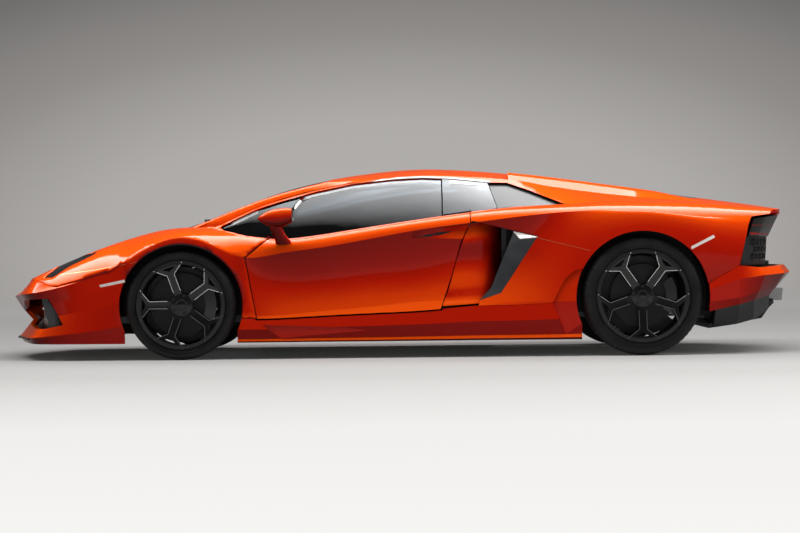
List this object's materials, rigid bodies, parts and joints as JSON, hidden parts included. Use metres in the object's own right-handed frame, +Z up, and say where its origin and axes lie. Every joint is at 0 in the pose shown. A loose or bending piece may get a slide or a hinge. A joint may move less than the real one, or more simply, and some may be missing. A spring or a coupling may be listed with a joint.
{
  "type": "mid-engined two-seat sports car",
  "caption": "Low wedge-shaped mid-engined sports car with upward-swinging doors, front luggage lid, rear engine cover, steered front wheels and side air intakes.",
  "frame": {"origin": "ground level, midway along and across the car", "axes": "+X from nose to tail, +Y to the car's right side, +Z up"},
  "size_m": [4.782, 2.124, 1.1304],
  "materials": {
    "orange_paint": "metallic gloss",
    "gloss_black": "gloss",
    "tinted_glass": "tinted",
    "lamp_glass": "clear cover over dark lamp",
    "lamp_red": "gloss",
    "marker_white": "frosted",
    "black_plastic": "fine grain",
    "exhaust_steel": "brushed",
    "carbon": "carbon fibre weave",
    "aluminium": "cast",
    "caliper_paint": "gloss",
    "leather": "fine grain",
    "rim_paint": "black paint with machined edges",
    "rubber": "matt",
    "disc_iron": "turned"
  },
  "bodies": {
    "body": {"cowl": "gloss_black", "dashboard": "black_plastic", "diffuser": "black_plastic", "engine": "aluminium", "exhaust": "exhaust_steel", "fixed_side_glass": "tinted_glass", "front_bumper": "orange_paint", "front_intakes": "gloss_black", "front_wings": "orange_paint", "headlamps": "lamp_glass", "liners": "black_plastic", "rear_bumper": "orange_paint", "rear_calipers": "caliper_paint", "rear_deck": "orange_paint", "rear_grille": "black_plastic", "rear_uprights": "aluminium", "rear_wings": "orange_paint", "roof": "orange_paint", "seats": "leather", "side_blades": "gloss_black", "side_ducts": "black_plastic", "side_markers": "marker_white", "side_scoops": "orange_paint", "sills": "orange_paint", "steering_wheel": "leather", "subframes": "aluminium", "tail_lamps": "lamp_red", "tail_panel": "orange_paint", "tub": "carbon", "upper_intakes": "gloss_black", "windscreen": "tinted_glass", "wishbones": "aluminium"},
    "door_left": {"door_left": "orange_paint", "door_glass_left": "tinted_glass", "mirror_left": "orange_paint"},
    "door_right": {"door_right": "orange_paint", "door_glass_right": "tinted_glass", "mirror_right": "orange_paint"},
    "front_lid": {"front_lid": "orange_paint"},
    "engine_cover": {"engine_cover": "gloss_black"},
    "knuckle_left": {"knuckle_left": "aluminium", "caliper_left": "caliper_paint"},
    "knuckle_right": {"knuckle_right": "aluminium", "caliper_right": "caliper_paint"},
    "wheel_fl": {"rim_fl": "rim_paint", "tyre_fl": "rubber", "disc_fl": "disc_iron"},
    "wheel_fr": {"rim_fr": "rim_paint", "tyre_fr": "rubber", "disc_fr": "disc_iron"},
    "wheel_rl": {"rim_rl": "rim_paint", "tyre_rl": "rubber", "disc_rl": "disc_iron"},
    "wheel_rr": {"rim_rr": "rim_paint", "tyre_rr": "rubber", "disc_rr": "disc_iron"}
  },
  "joints": [
    {"name": "wheel_fl_spin", "type": "hinge", "parent": "knuckle_left", "child": "wheel_fl", "pos_m": [-1.283, -0.86, 0.322], "axis": [0, 1, 0], "continuous": true},
    {"name": "wheel_fr_spin", "type": "hinge", "parent": "knuckle_right", "child": "wheel_fr", "pos_m": [-1.283, 0.86, 0.322], "axis": [0, 1, 0], "continuous": true},
    {"name": "wheel_rl_spin", "type": "hinge", "parent": "body", "child": "wheel_rl", "pos_m": [1.417, -0.845, 0.348], "axis": [0, 1, 0], "continuous": true},
    {"name": "wheel_rr_spin", "type": "hinge", "parent": "body", "child": "wheel_rr", "pos_m": [1.417, 0.845, 0.348], "axis": [0, 1, 0], "continuous": true},
    {"name": "steer_left", "type": "hinge", "parent": "body", "child": "knuckle_left", "pos_m": [-1.283, -0.808, 0.322], "axis": [0, 0, 1], "range_deg": [-32, 32]},
    {"name": "steer_right", "type": "hinge", "parent": "body", "child": "knuckle_right", "pos_m": [-1.283, 0.808, 0.322], "axis": [0, 0, 1], "range_deg": [-32, 32]},
    {"name": "door_left_swing", "type": "hinge", "parent": "body", "child": "door_left", "pos_m": [-0.775, -0.818, 0.7], "axis": [0.1558, -0.9839, -0.0872], "range_deg": [0, 65]},
    {"name": "door_right_swing", "type": "hinge", "parent": "body", "child": "door_right", "pos_m": [-0.775, 0.818, 0.7], "axis": [-0.1558, -0.9839, 0.0872], "range_deg": [0, 65]},
    {"name": "front_lid_swing", "type": "hinge", "parent": "body", "child": "front_lid", "pos_m": [-1.343, 0, 0.752], "axis": [0, 1, 0], "range_deg": [0, 60]},
    {"name": "engine_cover_swing", "type": "hinge", "parent": "body", "child": "engine_cover", "pos_m": [0.69, 0, 1.083], "axis": [0, -1, 0], "range_deg": [0, 50]}
  ],
  "couplings": [
    {"joint": "steer_right", "follows": "steer_left", "ratio": 1}
  ]
}
